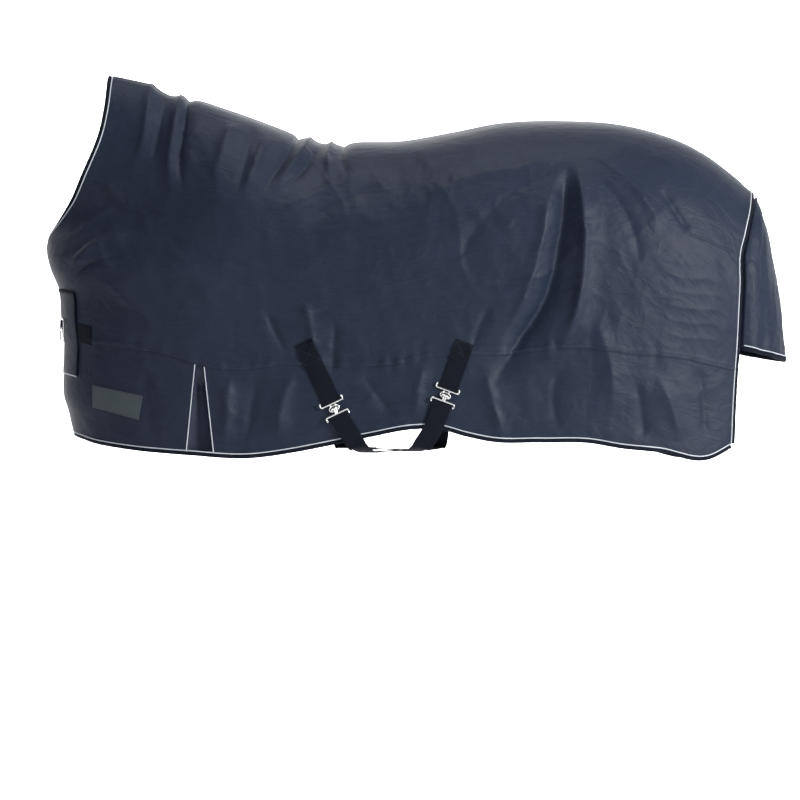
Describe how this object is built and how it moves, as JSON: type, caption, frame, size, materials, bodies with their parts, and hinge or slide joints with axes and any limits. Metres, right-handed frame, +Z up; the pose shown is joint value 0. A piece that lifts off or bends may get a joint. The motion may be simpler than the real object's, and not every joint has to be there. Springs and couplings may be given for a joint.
{
  "type": "turnout rug",
  "caption": "High-neck horse turnout rug with shoulder gussets, crossed belly surcingles, buckled chest placket and lifting tail flap.",
  "frame": {"origin": "on the spine seam over the withers, at the inner face of the outer cloth", "axes": "+X towards the tail, -Y the near side, +Z up"},
  "size_m": [1.8422, 0.6838, 0.9628],
  "materials": {
    "outer_cloth": "coated ripstop polyester, satin",
    "lining": "quilted nylon taffeta",
    "binding": "ribbed grosgrain tape",
    "reflective_piping": "silver-white corded piping",
    "webbing": "woven polyester webbing",
    "nickel": "polished nickel plate",
    "patch": "blank grey-green sewn patch"
  },
  "bodies": {
    "rug_body": {"upper_panel_left": "outer_cloth", "upper_panel_right": "outer_cloth", "chest_panel_left": "outer_cloth", "chest_panel_right": "outer_cloth", "shoulder_gusset_left": "outer_cloth", "shoulder_gusset_right": "outer_cloth", "skirt_panel_left": "outer_cloth", "skirt_panel_right": "outer_cloth", "quilted_lining_left": "lining", "quilted_lining_right": "lining", "neck_binding_left": "binding", "neck_piping_left": "reflective_piping", "neck_binding_right": "binding", "neck_piping_right": "reflective_piping", "hem_binding_left": "binding", "hem_piping_left": "reflective_piping", "hem_binding_right": "binding", "hem_piping_right": "reflective_piping", "rear_binding_left": "binding", "rear_piping_left": "reflective_piping", "rear_binding_right": "binding", "rear_piping_right": "reflective_piping", "gusset_piping_fore_left": "reflective_piping", "gusset_piping_fore_right": "reflective_piping", "gusset_piping_aft_left": "reflective_piping", "gusset_piping_aft_right": "reflective_piping", "surcingle_tab_front": "webbing", "clasp_plate_front": "nickel", "surcingle_anchor_front": "webbing", "surcingle_tab_rear": "webbing", "clasp_plate_rear": "nickel", "surcingle_anchor_rear": "webbing", "chest_billet": "webbing", "reflective_patch": "patch", "leg_ring_tab_left": "webbing", "leg_ring_tab_right": "webbing"},
    "tail_flap_body": {"tail_flap": "outer_cloth", "tail_flap_piping": "reflective_piping", "tail_flap_binding": "binding"},
    "surcingle_front_body": {"surcingle_strap_front": "webbing"},
    "surcingle_rear_body": {"surcingle_strap_rear": "webbing"},
    "clasp_hook_front_body": {"clasp_hook_front": "nickel"},
    "clasp_hook_rear_body": {"clasp_hook_rear": "nickel"},
    "slider_front_body": {"surcingle_slider_front": "nickel"},
    "slider_rear_body": {"surcingle_slider_rear": "nickel"},
    "chest_flap_body": {"chest_placket": "outer_cloth", "chest_placket_piping": "reflective_piping", "chest_strap": "webbing", "chest_buckle_frame": "nickel"},
    "chest_tongue_body": {"chest_buckle_tongue": "nickel"},
    "chest_keeper_body": {"chest_keeper": "webbing"},
    "leg_ring_left_body": {"leg_ring_left": "nickel"},
    "leg_ring_right_body": {"leg_ring_right": "nickel"}
  },
  "joints": [
    {"name": "tail_flap_lift", "type": "hinge", "parent": "rug_body", "child": "tail_flap_body", "pos_m": [1.058, 0, -0.122], "axis": [0, -1, 0], "range_deg": [0, 75]},
    {"name": "surcingle_rear_drop", "type": "hinge", "parent": "rug_body", "child": "surcingle_rear_body", "pos_m": [0.15, 0.34, -0.7], "axis": [1, 0, 0], "range_deg": [0, 80]},
    {"name": "surcingle_front_drop", "type": "hinge", "parent": "rug_body", "child": "surcingle_front_body", "pos_m": [0.15, 0.34, -0.7], "axis": [1, 0, 0], "range_deg": [0, 80]},
    {"name": "clasp_front_unhook", "type": "hinge", "parent": "surcingle_front_body", "child": "clasp_hook_front_body", "pos_m": [0.02366, -0.33087, -0.66676], "axis": [0.904, 0, 0.4276], "range_deg": [0, 18]},
    {"name": "clasp_rear_unhook", "type": "hinge", "parent": "surcingle_rear_body", "child": "clasp_hook_rear_body", "pos_m": [0.27871, -0.34102, -0.63575], "axis": [0.9377, 0, -0.3476], "range_deg": [0, 18]},
    {"name": "slider_front_slide", "type": "slide", "parent": "surcingle_front_body", "child": "slider_front_body", "axis": [0.3162, 0.9487, 0], "range_m": [-0.015, 0.065]},
    {"name": "slider_rear_slide", "type": "slide", "parent": "surcingle_rear_body", "child": "slider_rear_body", "axis": [-0.3162, 0.9487, 0], "range_m": [-0.015, 0.065]},
    {"name": "chest_flap_open", "type": "hinge", "parent": "rug_body", "child": "chest_flap_body", "pos_m": [-0.62913, 0.118, -0.455], "axis": [0, 0, -1], "range_deg": [0, 80]},
    {"name": "chest_tongue_lift", "type": "hinge", "parent": "chest_flap_body", "child": "chest_tongue_body", "pos_m": [-0.66081, -0.07274, -0.455], "axis": [0, 0, 1], "range_deg": [0, 90]},
    {"name": "chest_keeper_slide", "type": "slide", "parent": "chest_flap_body", "child": "chest_keeper_body", "axis": [0.1785, 0.9839, 0], "range_m": [-0.032, 0]},
    {"name": "leg_ring_left_swing", "type": "hinge", "parent": "rug_body", "child": "leg_ring_left_body", "pos_m": [0.95437, -0.21845, -0.6575], "axis": [0.8726, 0.4884, 0], "range_deg": [0, 90]},
    {"name": "leg_ring_right_swing", "type": "hinge", "parent": "rug_body", "child": "leg_ring_right_body", "pos_m": [0.95437, 0.21845, -0.6575], "axis": [-0.8726, 0.4884, 0], "range_deg": [0, 90]}
  ],
  "couplings": [
    {"joint": "surcingle_front_drop", "follows": "surcingle_rear_drop", "ratio": 1}
  ]
}
